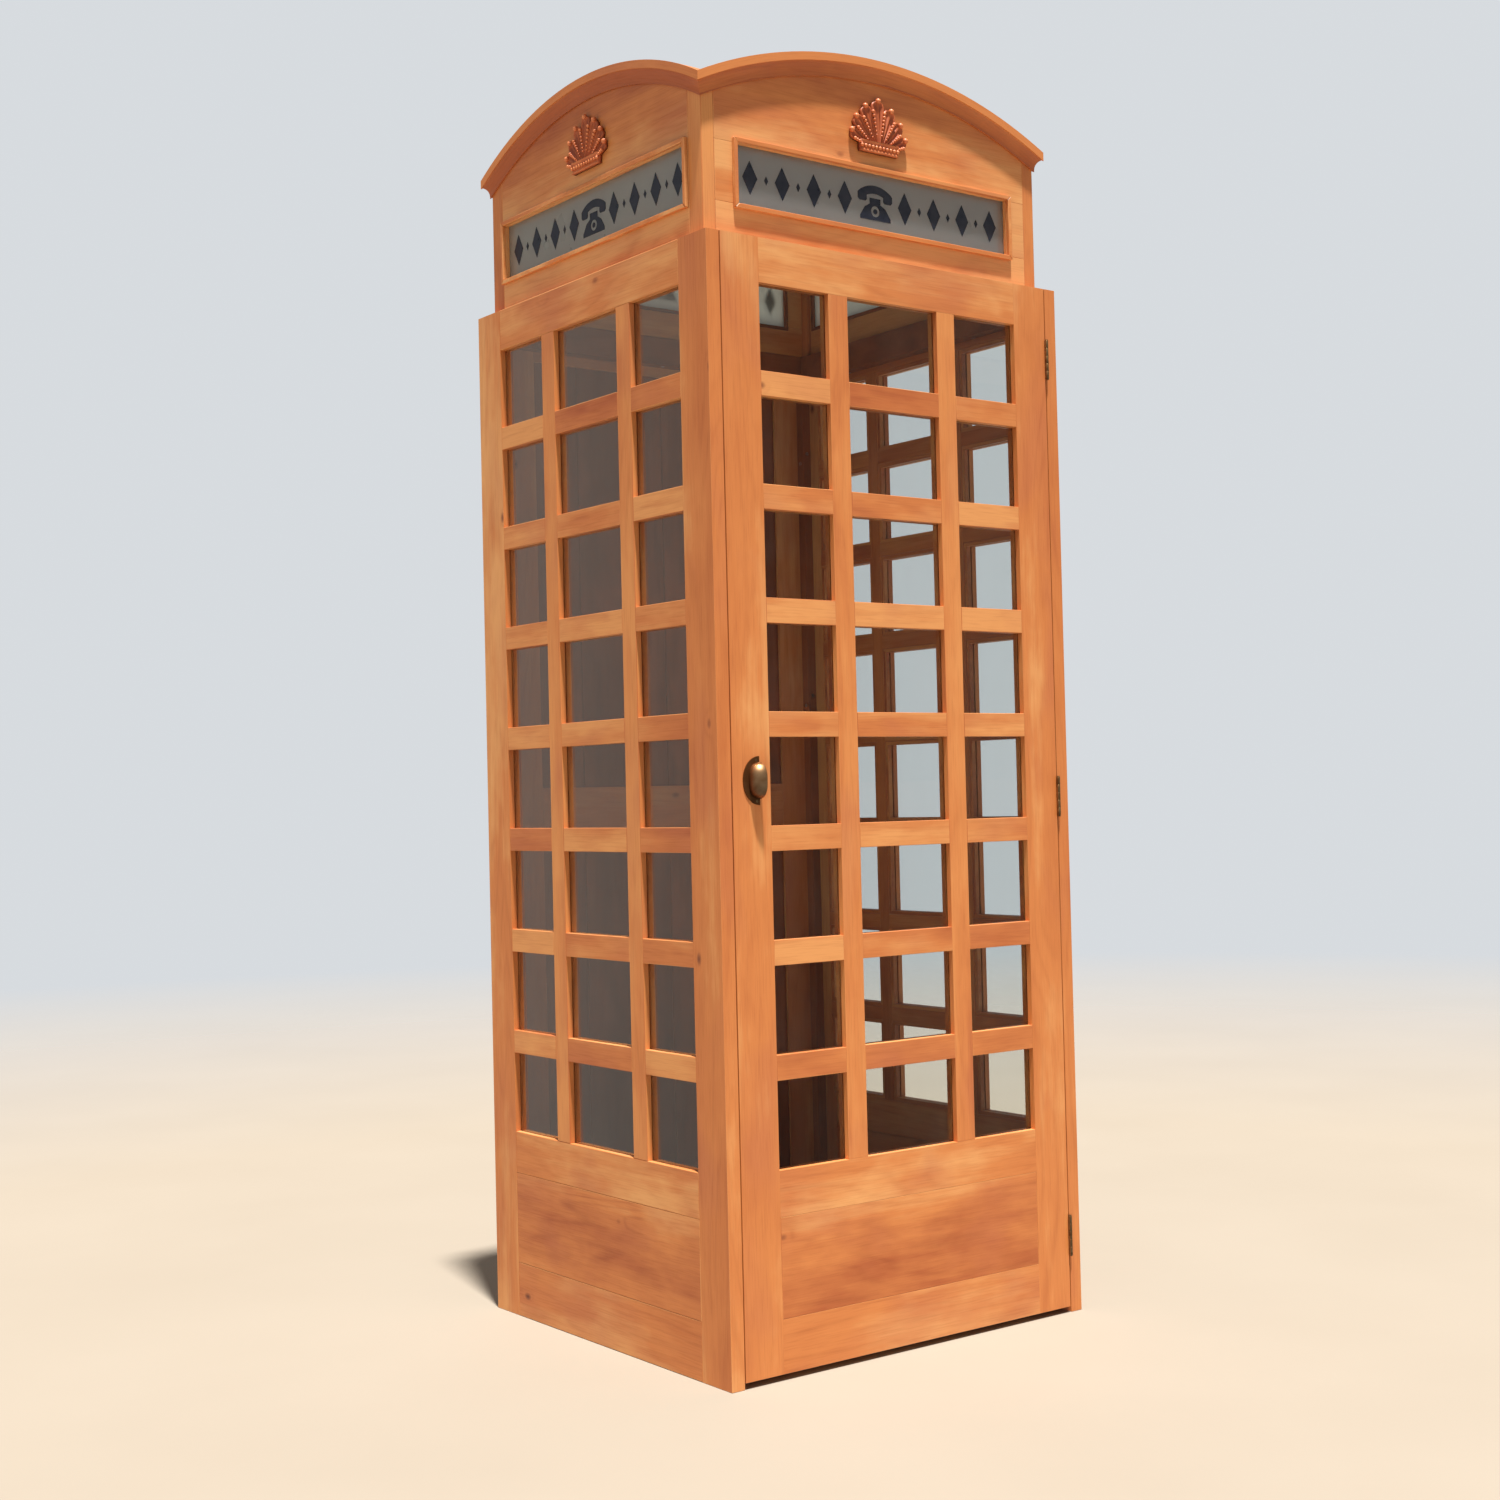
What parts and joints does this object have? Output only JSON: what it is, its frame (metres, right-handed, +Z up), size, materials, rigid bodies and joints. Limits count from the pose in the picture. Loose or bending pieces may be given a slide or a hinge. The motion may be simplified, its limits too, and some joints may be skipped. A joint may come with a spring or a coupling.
{
  "type": "telephone booth",
  "caption": "Free-standing square timber telephone booth with small-paned glazed walls, a hinged glazed door and an arched head with signs.",
  "frame": {"origin": "on the ground, under the middle of the floor", "axes": "+Z up, +X to the right of someone facing the door, +Y from the door towards the back wall"},
  "size_m": [0.856, 0.824, 2.455],
  "materials": {
    "frame_timber": "satin clear oil on warm reddish-tan softwood",
    "board_timber": "satin clear oil",
    "carving": "satin stained carving",
    "roof_skin": "matt primed board",
    "clear_glass": "polished float glass",
    "frosted_glass": "frosted",
    "aged_brass": "darkened with worn highlights",
    "steel": "zinc plated",
    "magnet_case": "matt"
  },
  "bodies": {
    "booth": {"back_cornice": "frame_timber", "back_fascia": "frame_timber", "back_ornament": "carving", "back_wall_lower_boards": "board_timber", "back_wall_rails": "frame_timber", "back_wall_stiles": "frame_timber", "back_wall_upper_boards": "board_timber", "batten_screws": "steel", "catch_body": "magnet_case", "corner_battens": "frame_timber", "door_header": "frame_timber", "door_stops": "frame_timber", "floor_bearers": "board_timber", "floor_boards": "board_timber", "front_cornice": "frame_timber", "front_fascia": "frame_timber", "front_ornament": "carving", "head_cleats": "frame_timber", "head_posts": "frame_timber", "head_screws": "steel", "hinge_pins": "aged_brass", "hinge_wall_leaves": "aged_brass", "hinge_wall_screws": "aged_brass", "left_cornice": "frame_timber", "left_fascia": "frame_timber", "left_ornament": "carving", "left_wall_base_panel": "frame_timber", "left_wall_cross_bars": "frame_timber", "left_wall_glazing_beads": "frame_timber", "left_wall_panes": "clear_glass", "left_wall_rails": "frame_timber", "left_wall_stiles": "frame_timber", "left_wall_upright_bars": "frame_timber", "right_cornice": "frame_timber", "right_fascia": "frame_timber", "right_ornament": "carving", "right_wall_base_panel": "frame_timber", "right_wall_cross_bars": "frame_timber", "right_wall_glazing_beads": "frame_timber", "right_wall_panes": "clear_glass", "right_wall_rails": "frame_timber", "right_wall_stiles": "frame_timber", "right_wall_upright_bars": "frame_timber", "roof_dome": "roof_skin", "roof_ribs": "board_timber", "sign_beads": "frame_timber", "sign_frames": "frame_timber", "sign_panes": "frosted_glass"},
    "door": {"door_base_panel": "frame_timber", "door_cross_bars": "frame_timber", "door_glazing_beads": "frame_timber", "door_panes": "clear_glass", "door_rails": "frame_timber", "door_stiles": "frame_timber", "door_upright_bars": "frame_timber", "cup_pull": "aged_brass", "pull_screws": "aged_brass", "hinge_door_leaves": "aged_brass", "hinge_door_screws": "aged_brass", "catch_strike": "steel"}
  },
  "joints": [
    {"name": "door_hinge", "type": "hinge", "parent": "booth", "child": "door", "pos_m": [0.39875, -0.4039, 1.011], "axis": [0, 0, 1], "range_deg": [0, 180]}
  ]
}
